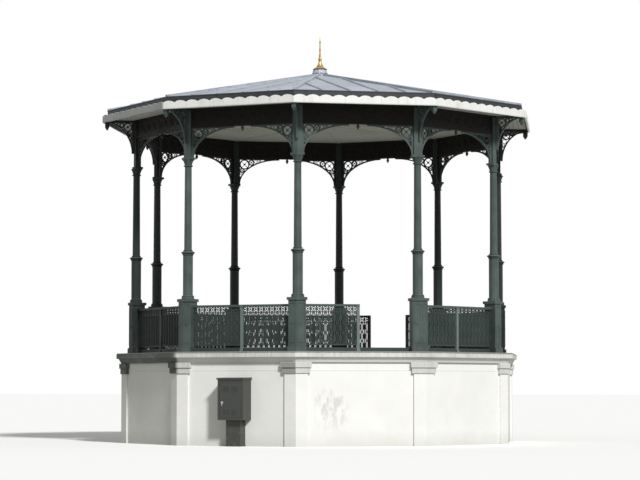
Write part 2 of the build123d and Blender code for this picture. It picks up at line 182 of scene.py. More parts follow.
def block(low, high, bevel):
    """A box between two corners, with its edges taken off by bevel."""
    made = bmesh.new()
    bmesh.ops.create_cube(made, size=1)
    for vert in made.verts:
        vert.co = [a + (c + 0.5) * (b - a) for a, b, c in zip(low, high, vert.co)]
    if bevel:
        bmesh.ops.bevel(made, geom=made.edges[:], offset=bevel, segments=1, affect="EDGES")
    made.verts.index_update()
    shape = [v.co.copy() for v in made.verts], [[v.index for v in f.verts] for f in made.faces]
    made.free()
    return shape


def placed(shape, spot=(0, 0, 0), turn=Matrix()):
    """A copy of a shape, turned about the origin and then moved to a spot."""
    return [turn @ p + Vector(spot) for p in shape[0]], shape[1]


# %% [markdown]
# Shapes become one mesh, and the mesh becomes a piece. Every face is shaded smooth, but edges sharper than 38
# degrees stay crisp, so round bars look round and boxes look cut. A piece rides on the bandstand's only body.

# %% From shapes to pieces
ROUND_EDGE = math.radians(38)


def mesh_of(name, shapes):
    """Join shapes into one mesh, with every face pointing outwards."""
    made = bmesh.new()
    for points, faces in shapes:
        verts = [made.verts.new(p) for p in points]
        for face in faces:
            made.faces.new([verts[i] for i in face])
    bmesh.ops.recalc_face_normals(made, faces=made.faces[:])
    mesh = bpy.data.meshes.new(name)
    made.to_mesh(mesh)
    made.free()
    return mesh


def new_object(name, data):
    """A new object in the scene, at the origin."""
    obj = bpy.data.objects.new(name, data)
    bpy.context.scene.collection.objects.link(obj)
    return obj


def piece(obj):
    """Finish a piece: its shading and its body."""
    mesh = obj.data
    mesh.name = obj.name
    mesh.polygons.foreach_set("use_smooth", [True] * len(mesh.polygons))
    mesh.set_sharp_from_angle(angle=ROUND_EDGE)
    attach(obj, "root")
    print("piece", obj.name, sum(len(p.vertices) - 2 for p in mesh.polygons), "triangles")
    return obj


def lone(name, shapes, material):
    """A finished piece that stands only once."""
    obj = new_object(name, mesh_of(name, shapes))
    obj.data.materials.append(material)
    return piece(obj)


# %% [markdown]
# Node trees are long to write by hand, so one small function adds a node, sets it up and links it. The same
# function serves materials and Geometry Nodes. It hands back a value, which can be added, multiplied or held
# between limits, so that a pattern reads like a formula. Colours are written as on a paint card, in sRGB,
# and turned into the linear values that a shader works in.

# %% Node and colour helpers
class Value:
    """What a node gives: its first output, or another one, as in value["Normal"]."""

    def __init__(self, made, output=0):
        self.made = made
        self.output = output

    def __getitem__(self, output):
        return Value(self.made, output)

    def maths(self, operation, other=0.0):
        """The value after one step of maths, with another value or number where the step takes two."""
        return node(self.made.id_data, "ShaderNodeMath", {0: self, 1: other}, operation=operation)

    __add__ = functools.partialmethod(maths, "ADD")
    __sub__ = functools.partialmethod(maths, "SUBTRACT")
    __mul__ = functools.partialmethod(maths, "MULTIPLY")
    __truediv__ = functools.partialmethod(maths, "DIVIDE")
    __abs__ = functools.partialmethod(maths, "ABSOLUTE")

    def between(self, low, high, to_low=0.0, to_high=1.0):
        """The value's way from one limit to the other, as 0 to 1 or as asked, held at both ends."""
        limits = {"From Min": low, "From Max": high, "To Min": to_low, "To Max": to_high}
        return node(self.made.id_data, "ShaderNodeMapRange", {"Value": self, **limits})


def node(tree, kind, inputs=(), **settings):
    """Add one node. Inputs are numbers, colours or the values that feed them, by name or number."""
    made = tree.nodes.new(kind)
    for name, setting in settings.items():
        setattr(made, name, setting)
    for socket, given in dict(inputs).items():
        if isinstance(given, Value):
            tree.links.new(given.made.outputs[given.output], made.inputs[socket])
        else:
            made.inputs[socket].default_value = given
    return Value(made)


def empty_tree(owner):
    """The node tree of a new material or world, without its first nodes."""
    owner.use_nodes = True
    owner.node_tree.nodes.clear()
    return owner.node_tree


def paint(code):
    """Linear colour of an sRGB hex code."""
    levels = [int(code[i:i + 2], 16) / 255 for i in (1, 3, 5)]
    return [v / 12.92 if v <= 0.04045 else ((v + 0.055) / 1.055) ** 2.4 for v in levels] + [1.0]


def coats(colour, *layers):
    """A colour under layers of others. Each layer is a share, none at 0 and all at 1, and a colour."""
    for share, over in layers:
        first, second = [paint(c) if isinstance(c, str) else c for c in (colour, over)]
        blend = {0: share, 6: first, 7: second}
        colour = node(share.made.id_data, "ShaderNodeMix", blend, data_type="RGBA")[2]
    return colour


# %% [markdown]
# The camera stands where the photograph was taken from, far off and low. The bandstand fills only a fifth of
# the photograph's width, so the lens is 3.5 times longer, which frames it larger and keeps the perspective.
# It is aimed a little upwards, at the middle of the object's height.

# %% Camera
CAMERA_AZIMUTH = math.radians(24.4)
CAMERA_DISTANCE = 54.8
EYE_HEIGHT = 1.22
PHOTO_WIDTH = 640
PHOTO_FOCAL = 686
CLOSER = 3.5
MIDDLE_OVER_HORIZON = 42.4
SENSOR_WIDTH = 36

camera_data = bpy.data.cameras.new("camera")
camera_data.sensor_width = SENSOR_WIDTH
camera_data.lens = SENSOR_WIDTH * PHOTO_FOCAL * CLOSER / PHOTO_WIDTH
camera_data.clip_end = 1000
camera = new_object("camera", camera_data)
outward = Vector((math.sin(CAMERA_AZIMUTH), -math.cos(CAMERA_AZIMUTH), 0))
camera.location = outward * CAMERA_DISTANCE + Vector((0, 0, EYE_HEIGHT))
aim_up = math.atan(MIDDLE_OVER_HORIZON / PHOTO_FOCAL)
gaze = -outward * math.cos(aim_up) + Vector((0, 0, math.sin(aim_up)))
camera.rotation_euler = gaze.to_track_quat("-Z", "Y").to_euler()
bpy.context.scene.camera = camera
print("lens", round(camera_data.lens, 1), "mm")

# %% [markdown]
# A plain studio: one large soft key light from the right, as high as the afternoon sun that the walls show,
# and an even fill. The left side then falls into soft shade, as it does in the photograph. The background
# is white only to the camera and to reflections. The floor is pale there too, but gives back less light,
# like the ground round a real podium, so the ceiling stays dark.

# %% Light and background
KEY_AZIMUTH = math.radians(49)
KEY_HEIGHT = math.radians(37)
KEY_STRENGTH = 3.12
KEY_SOFTNESS = math.radians(7)
FILL_STRENGTH = 0.38
FLOOR_REACH = 400

key_data = bpy.data.lights.new("key", "SUN")
key_data.energy = KEY_STRENGTH
key_data.angle = KEY_SOFTNESS
key = new_object("key", key_data)
level = math.cos(KEY_HEIGHT)
towards = Vector((math.sin(KEY_AZIMUTH) * level, -math.cos(KEY_AZIMUTH) * level, math.sin(KEY_HEIGHT)))
key.rotation_euler = (-towards).to_track_quat("-Z", "Y").to_euler()


def seen_directly(tree):
    """1 for rays from the camera, or by way of gloss or glass, and 0 for the rays that carry plain light."""
    path = node(tree, "ShaderNodeLightPath")
    seen = path["Is Camera Ray"].maths("MAXIMUM", path["Is Glossy Ray"])
    return seen.maths("MAXIMUM", path["Is Transmission Ray"])


bpy.context.scene.world = bpy.data.worlds.new("studio")
tree = empty_tree(bpy.context.scene.world)
strength = seen_directly(tree).between(0, 1, FILL_STRENGTH, 1.0)
light = node(tree, "ShaderNodeBackground", {"Color": (1, 1, 1, 1), "Strength": strength})
node(tree, "ShaderNodeOutputWorld", {"Surface": light})

floor_paint = bpy.data.materials.new("studio_floor")
tree = empty_tree(floor_paint)
matt = node(tree, "ShaderNodeBsdfDiffuse", {"Color": coats("#9a9c96", (seen_directly(tree), "#fbfbf9"))})
node(tree, "ShaderNodeOutputMaterial", {"Surface": matt})

ground = block((-FLOOR_REACH, -FLOOR_REACH, -0.4), (FLOOR_REACH, FLOOR_REACH, 0), 0)
floor = new_object("studio_floor", mesh_of("studio_floor", [ground]))
floor.data.materials.append(floor_paint)
print("key light", round(math.degrees(KEY_HEIGHT)), "degrees over a floor", 2 * FLOOR_REACH, "metres wide")

# %% [markdown]
# Every surface of the bandstand has weathered in its own way. Many patterns follow the bays: boards run along
# each side, zinc sheets run up each slope, and stains hang under the slab's edge. So a few maths nodes turn a
# point's place into a bay number, a distance along the bay and a distance out from the axis. A finish is a
# function that takes such a place, and one more function wires what it gives to a shader.

# %% Where a point of a finish lies
class Spot:
    """The place of a point, as values: east along X, north along Y, and up."""

    def __init__(self, tree):
        self.tree = tree
        self.place = node(tree, "ShaderNodeTexCoord")["Object"]
        parts = node(tree, "ShaderNodeSeparateXYZ", {"Vector": self.place})
        self.east, self.north, self.up = parts["X"], parts["Y"], parts["Z"]

    def in_bay(self):
        """The bay's number from 0, and the distances along the bay and out from the axis."""
        turns = (self.north.maths("ARCTAN2", self.east) + math.pi / 2) / STEP
        bay = turns.maths("ROUND")
        within = (turns - bay) * STEP
        flat = (self.east.maths("POWER", 2.0) + self.north.maths("POWER", 2.0)).maths("SQRT")
        return bay, flat * within.maths("SINE"), flat * within.maths("COSINE")

    def left_of(self, corner):
        """1 to the left of a corner at so many metres along X, where no sun comes, and 0 before it."""
        return self.east.between(corner * 0.97, corner * 1.02)

    def facing_up(self, low, high):
        """1 on level faces and 0 on upright ones, with the limits of the change between them."""
        normal = node(self.tree, "ShaderNodeNewGeometry")["Normal"]
        return node(self.tree, "ShaderNodeSeparateXYZ", {"Vector": normal})["Z"].between(low, high)

    def noise(self, metres, detail=4.0, stretch=(1, 1, 1)):
        """Values near 0.5 in blotches about so many metres across, which a stretch under 1 makes longer."""
        scaled = node(self.tree, "ShaderNodeMapping", {"Vector": self.place, "Scale": stretch})
        blotches = {"Vector": scaled, "Scale": 1 / metres, "Detail": detail}
        return node(self.tree, "ShaderNodeTexNoise", blotches)

    def tone(self, *numbers):
        """A tone from 0 to 1 of its own for each board or sheet, drawn from the numbers that name it."""
        label = node(self.tree, "ShaderNodeCombineXYZ", enumerate(numbers))
        return node(self.tree, "ShaderNodeTexWhiteNoise", {"Vector": label}, noise_dimensions="3D")


def surface(name, build, specular=0.5, metal=0.0):
    """A material: build(at) gives its colour, roughness and a height in metres for its bump."""
    material = bpy.data.materials.new(name)
    tree = empty_tree(material)
    colour, roughness, height = build(Spot(tree))
    bump = node(tree, "ShaderNodeBump", {"Height": height, "Strength": 1.0, "Distance": 1.0})
    shine = {"Metallic": metal} if metal else {"IOR": 1.5, "Specular IOR Level": specular}
    shader = node(tree, "ShaderNodeBsdfPrincipled",
                  {"Base Color": colour, "Roughness": roughness, "Normal": bump, **shine})
    node(tree, "ShaderNodeOutputMaterial", {"Surface": shader})
    print("finish", name, len(tree.nodes), "nodes")
    return material


# %% [markdown]
# The podium is brickwork under lime render, floated flat by hand and painted white. What gives it away is
# the slight hollow of each float stroke, a faint ridge at 1.60 m with a thin painted shadow line along it,
# a soft greying where dust runs down, and on the second bay a patch where the paint has flaked. The colour
# stays near white, because the lit walls are almost pure white in the photograph.

# %% Painted lime render
FLAKED_BAY = 1.0
FLAKED_FROM, FLAKED_TO = -1.04, -0.24
FLAKED_LOW, FLAKED_HIGH = 0.25, 1.30
RIDGE_LEVEL = 1.60


def lime_render(at):
    bay, along = at.in_bay()[:2]
    blotch = at.noise(0.9)
    runs = at.noise(0.06, stretch=(1, 1, 0.07)).between(0.56, 0.76) * at.up.between(WALL_TOP - 0.45, WALL_TOP)
    # A slight ridge in the bump, with a thin grey line painted along it: a painted shadow line.
    ridge_and_shadow_line = abs(at.up - RIDGE_LEVEL).between(0.012, 0.004)
    damp = (at.up - at.noise(0.35) * 0.22).between(0.22, -0.08)
    in_patch = bay.maths("COMPARE", FLAKED_BAY)
    in_patch *= along.between(FLAKED_FROM, FLAKED_FROM + 0.16) * along.between(FLAKED_TO, FLAKED_TO - 0.16)
    in_patch *= at.up.between(FLAKED_LOW, FLAKED_LOW + 0.45) * at.up.between(FLAKED_HIGH, FLAKED_HIGH - 0.30)
    flaked = in_patch * at.noise(0.11, 5.0, stretch=(1, 1, 0.45)).between(0.46, 0.58)
    colour = coats("#f1f0ed", (blotch.between(0.35, 0.7), "#eae9e5"), (runs * 0.10, "#a9aaa2"),
                   (damp * 0.20, "#8d8f7c"), (flaked * 0.32, "#97908f"), (ridge_and_shadow_line * 0.12, "#8f9090"))
    float_marks, grit = at.noise(0.28, 2.0), at.noise(0.012, 2.0)
    height = float_marks * 0.006 + grit * 0.0012 + ridge_and_shadow_line * 0.003
    return colour, blotch.between(0.3, 0.7, 0.78, 0.92), height


# %% [markdown]
# The slab's edge and the cap blocks are cast concrete. Rain has taken most of their limewash, so they are
# greyer than the walls, speckled, and darker in vertical runs. The moulding under the slab's plain band lies
# in the slab's shade, and on all but the shaded side it is painted near white, a painted light. On the side
# away from the sun all is painted dark, a painted shade, with the cap blocks darker still. The cap blocks at
# one end of the first bay carry painted shade too, and a dark band runs along the slab's upper rim. The floor
# is bare paving, laid in courses that follow the bays.

# %% Painted concrete and paving
COURSE = 0.45
BAND = 0.120
RIM = 0.030


def cast_concrete(at):
    bay, along, out = at.in_bay()
    blotch, speckle = at.noise(0.5), at.noise(0.02, 2.0)
    streak = at.noise(0.05, stretch=(1, 1, 0.1)).between(0.5, 0.75)
    on_cap = at.up.between(slab_low.z + 0.01, slab_low.z - 0.01)
    # Painted shade: the cap blocks at one end of the first bay are darkened.
    shaded_cap_end = on_cap * abs(bay).between(0.6, 0.4) * along.between(0.9, 1.1)
    # Painted shade: the side away from the sun, left of this corner.
    shaded_side = at.left_of(-CORNER)
    # Painted light: the moulding under the slab's plain band, in the slab's shade, is lightened to near white
    # on all but the shaded side.
    lit_mould = at.up.between(FLOOR - BAND + 0.005, FLOOR - BAND - 0.005)
    lit_mould *= at.up.between(slab_low.z - 0.01, slab_low.z + 0.01)
    # A dark band along the slab's upper rim, with a wavy lower edge.
    dark_rim = (at.up + at.noise(0.15) * 0.02).between(FLOOR - RIM - 0.002, FLOOR - RIM + 0.012)
    # Painted shade on that side, darkest on the cap blocks.
    shaded_side_tone = shaded_side * blotch.between(0.2, 0.5, 0.75, 0.95)
    joints = [(run / COURSE).maths("PINGPONG", 0.5).between(0.02, 0.008) for run in (out, along)]
    joint = joints[0].maths("MAXIMUM", joints[1])
    level_face = at.facing_up(0.8, 0.95)
    colour = coats("#dcdcd8", (blotch.between(0.35, 0.7), "#c8c8c2"), (streak * 0.35, "#82847d"),
                   (on_cap * 0.45, "#c9c9c4"), (shaded_cap_end * 0.65, "#6f726c"),
                   ((lit_mould - lit_mould * shaded_side) * 0.8, "#f1f0ec"), (dark_rim * 0.75, "#4f524e"),
                   (shaded_side_tone, coats("#575c58", (on_cap, "#454a46"))))
    paving = coats("#a8a69d", (blotch.between(0.3, 0.7), "#8f8e86"), (joint, "#5f5e57"))
    colour = coats(colour, (level_face, paving))
    height = speckle * 0.002 - joint * level_face * 0.003
    return colour, speckle.between(0.3, 0.7, 0.7, 0.9), height


# %% [markdown]
# The ironwork is cast and wrought iron under many coats of dark grey-green oil paint. The paint is thick
# enough to soften the casting's grain, so the bump is low and wide. Dust lies on what faces up, and rust
# shows in small spots near the floor, where water stands. The bars under the handrails are painted darker,
# a painted shade, and their middle posts lighter, a painted light. The sides that the sun leaves, on the left
# and at the back, are painted almost black, a painted shade. The beams have a coat of their own, darker and
# browner, over grain that lies level.

# %% Oil paint on iron and timber
SUNLESS = -1.65
POST_HALF = 0.037
RAILING_TOP = FLOOR + 0.99


def iron_coats(at):
    blotch, grain = at.noise(0.35), at.noise(0.014, 2.0)
    aside = abs(at.in_bay()[1])
    railing = at.up.between(RAILING_TOP, RAILING_TOP - 0.05)
    railing *= aside.between(BAY_HALF + 0.004, BAY_HALF - 0.004)
    # Painted shade on the bars between the posts, and painted light on the middle posts.
    shaded_infill = railing * aside.between(POST_HALF - 0.003, POST_HALF + 0.003)
    lit_post = railing * aside.between(POST_HALF + 0.003, POST_HALF - 0.003)
    # Painted shade: the left side and the back are darkened almost to black.
    shaded_iron = at.left_of(SUNLESS).maths("MAXIMUM", at.north.between(0.2, 1.0))
    rust = at.noise(0.045, 5.0).between(0.62, 0.70) * at.up.between(FLOOR + 0.55, FLOOR)
    dust = at.facing_up(0.35, 0.95)
    colour = coats("#414c4a", (blotch.between(0.3, 0.7), "#535f5c"), (shaded_infill * 0.65, "#26302e"),
                   (lit_post * 0.60, "#7c8985"), (shaded_iron * 0.80, "#151a19"), (dust * 0.30, "#84897f"),
                   (rust, "#5c3a26"))
    return colour, blotch.between(0.3, 0.7, 0.42, 0.58), grain * 0.0012


def frieze_coats(at):
    blotch, grain = at.noise(0.4), at.noise(0.018, 3.0, stretch=(1, 1, 4))
    worn = grain.between(0.6, 0.8)
    colour = coats("#1a1815", (blotch.between(0.3, 0.7), "#23201d"), (worn * 0.4, "#3a352f"))
    return colour, blotch.between(0.3, 0.7, 0.5, 0.65), grain * 0.0010


# %% [markdown]
# The ceiling is matchboard, nailed along each side in ten sectors, under grey distemper. Its boards are
# 110 mm wide, with a dark line at each joint. They are drawn from the distance out from the axis, so each
# sector's boards run along its own bay and meet at the corners.

# %% Distempered ceiling boards
BOARD_WIDTH = 0.11


def matchboard(at):
    bay, _, out = at.in_bay()
    count = out / BOARD_WIDTH
    joint = count.maths("PINGPONG", 0.5).between(0.06, 0.02)
    tone = at.tone(count.maths("FLOOR"), bay)
    stain = at.noise(0.8).between(0.55, 0.8)
    colour = coats("#c8cac2", (tone, "#d6d7cf"), (stain * 0.4, "#9a968e"), (joint * 0.75, "#4d4c48"))
    height = at.noise(0.03, 3.0) * 0.0008 - joint * 0.004
    return colour, tone.between(0.0, 1.0, 0.7, 0.85), height


# %% [markdown]
# The eave board is pine under white gloss, the brightest thing on the bandstand. Water drips through the
# hollows between its scallops and leaves faint grey runs, and the gloss has dulled unevenly. On the side away
# from the sun the board is painted grey, a painted shade.

# %% White gloss on the eave
def white_gloss(at):
    blotch = at.noise(0.3)
    runs = at.noise(0.07, stretch=(1, 1, 0.15)).between(0.55, 0.75)
    # Painted shade: the board on the side away from the sun is greyed.
    colour = coats("#ecece9", (blotch.between(0.35, 0.7), "#e1e1dd"), (runs * 0.30, "#a5a59d"),
                   (at.left_of(-EAVE_CORNER) * 0.85, "#7e827e"))
    brush_marks = at.noise(0.01, 2.0, stretch=(0.15, 0.15, 1)) * 0.0006
    return colour, blotch.between(0.3, 0.7, 0.32, 0.5), brush_marks


# %% [markdown]
# The roof is rolled zinc sheet. New zinc is bright, and a few years of rain give it the matt, bluish grey
# bloom of zinc carbonate, so it is only partly metallic. Each sheet has bloomed at its own pace, which the
# strip and course numbers of each bay give. The roof's upright edge is in dark lead.

# %% Weathered zinc and lead
SHEETS_PER_BAY = 5
SHEET_WIDTH = 2 * ROOF_LINE * HALF_TAN / SHEETS_PER_BAY
SHEET_LENGTH = 1.15


def zinc_bloom(at):
    bay, along, out = at.in_bay()
    course = out / SHEET_LENGTH
    welt = course.maths("PINGPONG", 0.5).between(0.014, 0.006)
    cloud = at.noise(0.25, 5.0)
    tone = at.tone((along / SHEET_WIDTH).maths("ROUND"), course.maths("FLOOR"), bay)
    bloom = cloud.between(0.5, 0.75)
    colour = coats("#9ca2ab", (tone, "#aeb3bb"), (bloom * 0.55, "#7f8691"), (welt * 0.6, "#6c727b"))
    return colour, cloud.between(0.3, 0.7, 0.66, 0.78), at.noise(0.3, 2.0) * 0.004 + welt * 0.004


def lead_bloom(at):
    cloud = at.noise(0.12, 5.0)
    colour = coats("#26282b", (cloud.between(0.3, 0.7), "#3b3e42"))
    return colour, cloud.between(0.3, 0.7, 0.5, 0.7), cloud * 0.003


# %% [markdown]
# The spike carries old oil gilding. Gold leaf on iron keeps its colour but loses its mirror, so it is a full
# metal with a middling roughness, browner where the leaf has worn thin. The cabinet is sheet steel with a
# stoved grey coat: smooth, slightly mottled, with dust and scuffs near its foot.

# %% Gilding and cabinet enamel
def old_gilding(at):
    worn = at.noise(0.06, 4.0)
    colour = coats("#bda36a", (worn.between(0.45, 0.7), "#77633c"))
    return colour, worn.between(0.3, 0.7, 0.34, 0.55), worn * 0.0010


def stoved_enamel(at):
    mottle = at.noise(0.02, 3.0)
    scuff = at.noise(0.05, 4.0).between(0.58, 0.7) * at.up.between(0.9, 0.1)
    colour = coats("#383a37", (mottle.between(0.3, 0.7), "#434541"), (scuff * 0.5, "#7f7a6c"))
    return colour, mottle.between(0.3, 0.7, 0.35, 0.5), mottle * 0.0006


# %% [markdown]
# The record gives every node a slot, and each slot gets its finish. Paints share one index of refraction and
# differ in how much they mirror. Metals keep their own, and a number says how metallic they still are.

# %% Finishes for the frame
plaster = surface("painted_lime_render", lime_render, specular=0.2)
concrete = surface("painted_concrete", cast_concrete, specular=0.25)
iron = surface("oil_paint_on_iron", iron_coats, specular=0.2)
frieze = surface("dark_oil_paint", frieze_coats, specular=0.12)
boards = surface("distempered_boards", matchboard, specular=0.15)
gloss = surface("white_gloss_paint", white_gloss, specular=0.5)
zinc = surface("weathered_zinc", zinc_bloom, metal=0.35)
lead = surface("weathered_lead", lead_bloom, metal=0.3)
gilt = surface("old_gilding", old_gilding, metal=1.0)
enamel = surface("stoved_enamel", stoved_enamel, specular=0.4)

SLOT_FINISH = {
    "wall_plaster": plaster, "slab_stone": concrete, "cabinet_paint": enamel,
    "iron_paint": iron, "frieze_paint": frieze, "ceiling_paint": boards,
    "eave_white": gloss, "roof_zinc": zinc, "spike_gilt": gilt,
}
for row in frame["record"]["subparts"]:
    mesh = nodes[row["node"]].data
    mesh.materials.clear()
    mesh.materials.append(SLOT_FINISH[row["material_slot"]])
print("slots:", len(SLOT_FINISH))

# %% [markdown]
# Small Geometry Nodes trees do the repeating. The first lays copies of one shape in columns and rows, which
# makes scrollwork, friezes and louvres. The second turns copies about the bandstand's axis, one for each bay
# or corner, and can leave out two of them. Both end in real geometry with a material on it.

# %% Trees that repeat a shape
def new_tree(name, sockets):
    """A Geometry Nodes tree with named inputs. Gives the tree and what its input node gives."""
    tree = bpy.data.node_groups.new(name, "GeometryNodeTree")
    for label, kind in {"Geometry": "Geometry", **sockets, "Material": "Material"}.items():
        tree.interface.new_socket(name=label, in_out="INPUT", socket_type="NodeSocket" + kind)
    tree.interface.new_socket(name="Geometry", in_out="OUTPUT", socket_type="NodeSocketGeometry")
    return tree, node(tree, "NodeGroupInput")


def finish_tree(tree, given, points, placing=()):
    """End a tree: set the shape on each point, make the copies real and give them their material."""
    spread = {"Points": points, "Instance": given["Geometry"], **dict(placing)}
    copies = node(tree, "GeometryNodeInstanceOnPoints", spread)
    real = node(tree, "GeometryNodeRealizeInstances", {"Geometry": copies})
    coated = node(tree, "GeometryNodeSetMaterial", {"Geometry": real, "Material": given["Material"]})
    node(tree, "NodeGroupOutput", {"Geometry": coated})
    return tree


def field_tree():
    """Copies in columns along X and rows along Z."""
    tree, given = new_tree("field", {"Columns": "Int", "Rows": "Int", "Pitch": "Float", "Row height": "Float",
                                     "First": "Vector"})
    index = node(tree, "GeometryNodeInputIndex")
    across = index.maths("MODULO", given["Columns"]) * given["Pitch"]
    up = (index / given["Columns"]).maths("FLOOR") * given["Row height"]
    shift = node(tree, "ShaderNodeCombineXYZ", {0: across, 2: up})
    place = node(tree, "ShaderNodeVectorMath", {0: shift, 1: given["First"]}, operation="ADD")
    count = given["Columns"] * given["Rows"]
    return finish_tree(tree, given, node(tree, "GeometryNodePoints", {"Count": count, "Position": place}))


def ring_tree():
    """Copies turned about Z, one a bay, with up to two bays left out."""
    tree, given = new_tree("ring", {"Copies": "Int", "Left out": "Int", "Also left out": "Int"})
    index = node(tree, "GeometryNodeInputIndex")
    kept = [node(tree, "FunctionNodeCompare", {2: index, 3: given[skip]}, data_type="INT",
                 operation="NOT_EQUAL") for skip in ("Left out", "Also left out")]
    turn = node(tree, "ShaderNodeCombineXYZ", {2: index / given["Copies"] * (2 * math.pi)})
    return finish_tree(tree, given, node(tree, "GeometryNodePoints", {"Count": given["Copies"]}), {
        "Selection": node(tree, "FunctionNodeBooleanMath", enumerate(kept)), "Rotation": turn})


field = field_tree()
ring = ring_tree()
print("trees:", field.name, len(field.nodes), "nodes,", ring.name, len(ring.nodes), "nodes")

# %% [markdown]
# A tree runs as a modifier. Its sizes are set by each socket's identifier, because the names are only labels,
# and the result is read back as a plain mesh. Where that is only a step, it becomes a shape again, to be
# joined with others and turned into the other bays.

# %% Running a tree
def grown(name, tree, shapes, **sizes):
    """Run a tree on shapes, and return its result as an object with a plain mesh."""
    obj = new_object(name, mesh_of(name, shapes))
    modifier = obj.modifiers.new("grow", "NODES")
    modifier.node_group = tree
    for socket in tree.interface.items_tree:
        size = sizes.get(socket.name.lower().replace(" ", "_"))
        if socket.in_out == "INPUT" and size is not None:
            modifier[socket.identifier] = size
    result = bpy.data.meshes.new_from_object(obj.evaluated_get(bpy.context.evaluated_depsgraph_get()))
    obj.modifiers.remove(modifier)
    obj.data = result
    return obj


def laid_out(tree, shapes, material, **sizes):
    """The shape that a tree makes of others, for a step that isn't a piece yet."""
    obj = grown("step", tree, shapes, material=material, **sizes)
    mesh = obj.data
    bpy.data.objects.remove(obj)
    return [v.co.copy() for v in mesh.vertices], [list(p.vertices) for p in mesh.polygons]


def round_ring(name, shapes, material, left_out=-1, also_left_out=-1):
    """A finished piece: copies of the shapes in every bay, or at every corner, but those left out."""
    made = grown(name, ring, shapes, copies=SIDES, left_out=left_out, also_left_out=also_left_out,
                 material=material)
    return piece(made)


# %% [markdown]
# The railings look almost closed, because the space between the bars is filled with round iron, 18 mm thick:
# three upright rods, three ovals with a ball where two of them meet, and a ring round a flat boss in the band
# under the handrail. The field tree lays it out for half a bay, because bay 2 has lost its right half, and
# the short railings at the entrance have a pitch of their own. A low kerb of cast iron stands on the floor in
# all bays but the entrance.

# %% Railing scrollwork and kerb
ROD = 0.009
BAR_SIZE = 0.022
BAR_PITCH = 0.125
GAP_LOW, GAP_HIGH = FLOOR + 0.160, FLOOR + 0.825
BAND_LOW, BAND_HIGH = FLOOR + 0.847, FLOOR + 0.950
BITE = 0.002  # how far one rod sinks into the next
OVALS_UP = 3
BALL = [(0, -0.013), (0.012, -0.006), (0.012, 0.006), (0, 0.013)]
BOSS = [(0, -0.008), (0.024, -0.005), (0.024, 0.005), (0, 0.008)]
SECOND_BAY, ENTRANCE = 1, 5
GATE_POST = 0.498


def scrollwork(start, end):
    """The rods, ovals, balls and rings between two ends on the line of bay 1."""
    columns = round((end - start) / BAR_PITCH)
    pitch = (end - start) / columns
    width = pitch - BAR_SIZE - 2 * ROD + BITE
    tall = (GAP_HIGH - GAP_LOW) / OVALS_UP
    reach = (GAP_HIGH - GAP_LOW) / 2
    first_oval = [hoop(width, tall - 2 * ROD + BITE, ROD, 16)]
    rods = [bar([(x, 0, -reach), (x, 0, reach)], ROD) for x in (-width * 0.30, 0, width * 0.30)]
    boss = placed(lathe(BOSS, 8), turn=FACE_ON)
    in_band = [hoop(width, BAND_HIGH - BAND_LOW - 2 * ROD + BITE, ROD, 14), boss]
    rows = [(first_oval, OVALS_UP, GAP_LOW + tall / 2), ([lathe(BALL, 6)], OVALS_UP - 1, GAP_LOW + tall),
            (rods, 1, GAP_LOW + reach), (in_band, 1, (BAND_LOW + BAND_HIGH) / 2)]
    return [laid_out(field, shapes, iron, columns=columns, rows=count, pitch=pitch, row_height=tall,
                     first=(start + pitch / 2, -RING_LINE, height)) for shapes, count, height in rows]


left_half = scrollwork(-BAY_HALF, 0)
right_half = scrollwork(0, BAY_HALF)
round_ring("railing_scrollwork", left_half + right_half, iron, left_out=SECOND_BAY,
           also_left_out=ENTRANCE)
gate = scrollwork(-BAY_HALF, -GATE_POST) + scrollwork(GATE_POST, BAY_HALF)
for name, work, bays in (("railing_scrollwork_bay_2", left_half, SECOND_BAY),
                         ("railing_scrollwork_entrance", gate, ENTRANCE)):
    turn = Matrix.Rotation(bays * STEP, 4, "Z")
    lone(name, [placed(shape, turn=turn) for shape in work], iron)

KERB_STEPS = [(0.024, 0.085), (0.032, 0.020)]  # half width and height of its wall and its foot
kerb = [strip(RING_LINE - half, RING_LINE + half, FLOOR, FLOOR + height) for half, height in KERB_STEPS]
round_ring("railing_kerb", kerb, iron, left_out=ENTRANCE)

# %% [markdown]
# A founder hides the joints of a column under turned rings. Each column gets a round moulding over its
# pedestal, at the collar and under the capital, and eight leaves round the bell. A raised frame with a
# rosette decorates the two outer faces of the pedestal, and four bolts hold the plinth. All of it is made
# once, at the corner on +X, and turned to the other nine.

# %% Column mouldings and leaves
PLINTH_TOP = FLOOR + 0.110
PEDESTAL_TOP = FLOOR + 1.080
BELL_FOOT = arch_low.z - 0.174
SHAFT_RINGS = [  # radius, height and thickness
    (0.118, FLOOR + 1.200, 0.016), (0.136, FLOOR + 2.138, 0.015), (0.116, FLOOR + 2.092, 0.010),
    (0.094, FLOOR + 2.186, 0.011), (0.095, arch_low.z - 0.187, 0.010),
]
LEAF = [  # distance out, height over the bell's foot and half width
    (0.070, 0, 0.020), (0.084, 0.05, 0.027), (0.104, 0.10, 0.024), (0.134, 0.118, 0.010),
]
LEAF_THICK = 0.008
LEAVES = 8

leaf_section = [(0, -1), (0, 1), (LEAF_THICK, 0.5), (LEAF_THICK, -0.5)]
one_leaf = skin([[(out + thick, half * y, BELL_FOOT + up) for thick, y in leaf_section]
                 for out, up, half in LEAF])
corner = (CORNER_RING, 0, 0)
column_work = [placed(level_ring(*sizes), corner) for sizes in SHAFT_RINGS]
for angle in around(LEAVES):
    column_work.append(placed(one_leaf, corner, Matrix.Rotation(angle + math.pi / LEAVES, 4, "Z")))

# %% [markdown]
# The pedestal is bent at the corner, so that each of its two outer faces is parallel to the bay on its side.
# The middle of a face is found from the point where the two meet, and the frame and its rosette are turned to
# lie there.

# %% Pedestal panels and bolts
PEDESTAL_HALF = 0.150
ROSETTE = [(0.032, 0), (0.030, 0.006), (0.018, 0.006), (0.016, 0.012), (0, 0.016)]
BOLT = [(0.011, 0), (0.011, 0.012), (0.006, 0.014), (0, 0.014)]
BOLT_OUT, BOLT_ASIDE = 0.165, 0.10

